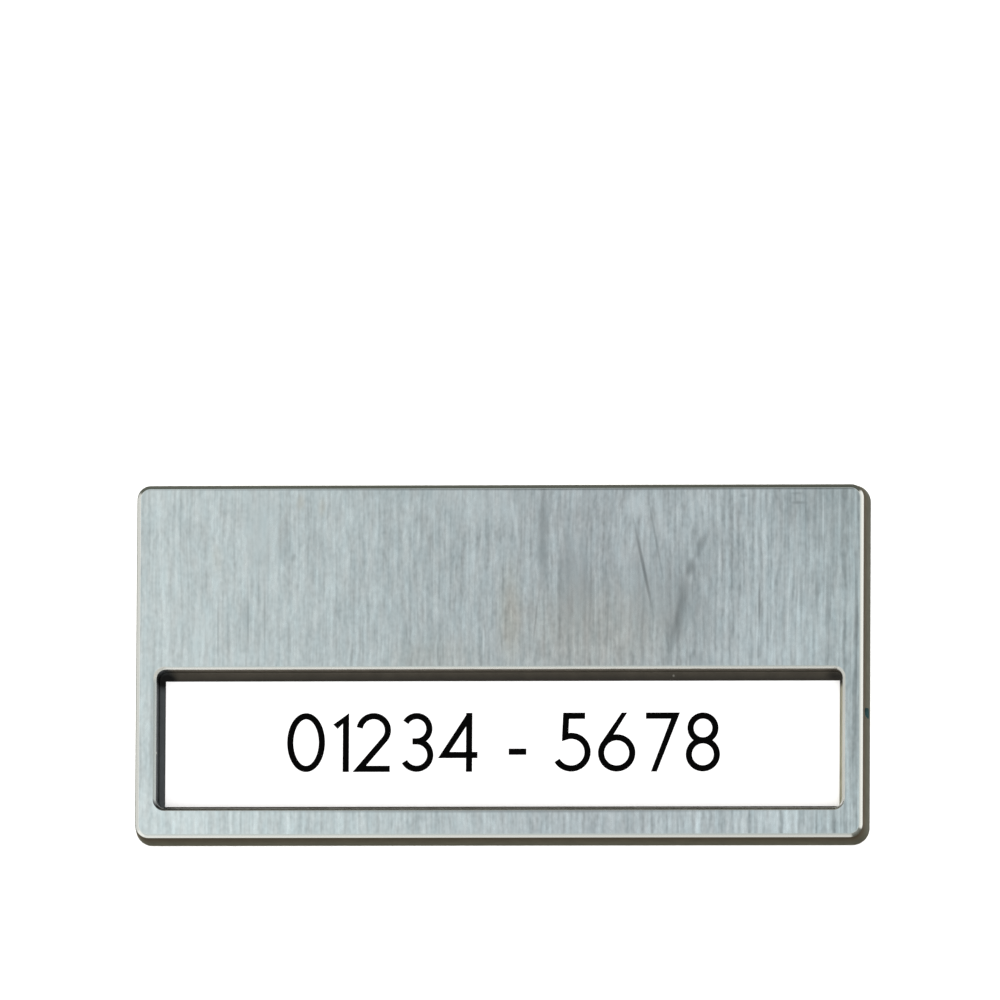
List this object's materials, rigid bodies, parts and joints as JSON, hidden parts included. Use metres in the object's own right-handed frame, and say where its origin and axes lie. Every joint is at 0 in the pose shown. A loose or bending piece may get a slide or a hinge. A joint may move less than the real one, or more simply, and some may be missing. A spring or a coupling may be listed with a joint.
{
  "type": "name badge",
  "caption": "Rectangular metal name badge with a brushed face, bevelled edges, a sunk window for a label strip and a magnetic back.",
  "frame": {"origin": "middle of the outline, in the plane of the back rim that the badge lies on", "axes": "+Z out of the brushed face, +Y to the badge's top edge, +X to its right edge as a reader sees it"},
  "size_m": [0.0708, 0.0348, 0.005],
  "materials": {
    "brushed_metal": "die-cast zinc, satin nickel plated, face brushed from top to bottom",
    "label_strip": "matt white label strip",
    "label_print": "black print on the label strip",
    "magnet_plating": "satin nickel plating"
  },
  "bodies": {
    "root": {"badge_body": "brushed_metal", "name_card": "label_strip", "magnet_bar": "magnet_plating"}
  },
  "joints": []
}
